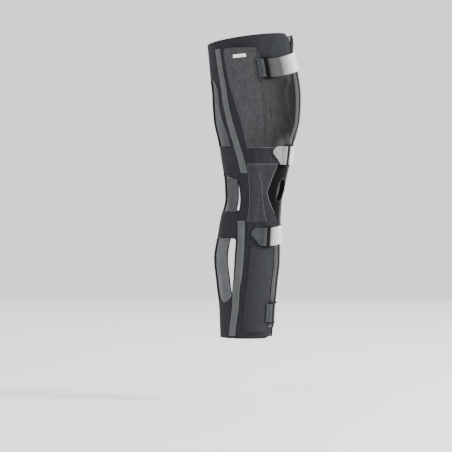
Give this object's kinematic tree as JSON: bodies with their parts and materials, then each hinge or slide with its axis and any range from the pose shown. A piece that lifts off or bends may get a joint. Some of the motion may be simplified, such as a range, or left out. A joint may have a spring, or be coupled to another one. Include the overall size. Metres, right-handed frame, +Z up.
{
  "type": "knee immobilizer",
  "caption": "Padded full-leg knee immobilizer, open down the front, with stay pockets, windows at the back and ring straps.",
  "frame": {"origin": "middle of the knee inside the sleeve, level with the middle of the kneecap opening", "axes": "+Z up the leg, -Y the open front, -X the outer side of a right leg"},
  "size_m": [0.184, 0.2068, 0.6527],
  "materials": {
    "laminate": "black foam laminate, brushed loop face",
    "velour": "dark grey velour",
    "loop": "black loop fabric",
    "webbing": "grey woven webbing",
    "strap": "light grey loop strap",
    "tab": "mid grey hook tab",
    "stretch": "black stretch knit",
    "plastic": "black moulded plastic",
    "label": "blank woven label"
  },
  "bodies": {
    "root": {"posterior_thigh_panel": "laminate", "posterior_knee_panel": "laminate", "posterior_calf_panel": "laminate", "patella_insert": "stretch", "lateral_thigh_shell": "laminate", "lateral_knee_shell": "laminate", "lateral_calf_shell": "laminate", "lateral_thigh_panel": "velour", "lateral_upper_loop_band": "loop", "lateral_knee_panel": "velour", "lateral_lower_loop_band": "loop", "lateral_calf_panel": "velour", "lateral_thigh_channel": "webbing", "lateral_calf_channel": "webbing", "lateral_thigh_front_channel": "webbing", "lateral_calf_front_channel": "webbing", "medial_thigh_shell": "laminate", "medial_knee_shell": "laminate", "medial_calf_shell": "laminate", "medial_thigh_panel": "velour", "medial_upper_loop_band": "loop", "medial_knee_panel": "velour", "medial_lower_loop_band": "loop", "medial_calf_panel": "velour", "medial_thigh_channel": "webbing", "medial_calf_channel": "webbing", "medial_thigh_front_channel": "webbing", "medial_calf_front_channel": "webbing", "posterior_channel": "webbing", "strap_thigh": "strap", "ring_thigh": "plastic", "tab_thigh": "tab", "strap_above_knee": "strap", "ring_above_knee": "plastic", "tab_above_knee": "tab", "strap_below_knee": "strap", "ring_below_knee": "plastic", "tab_below_knee": "tab", "strap_ankle": "strap", "ring_ankle": "plastic", "tab_ankle": "tab", "label_tab": "label"}
  },
  "joints": []
}
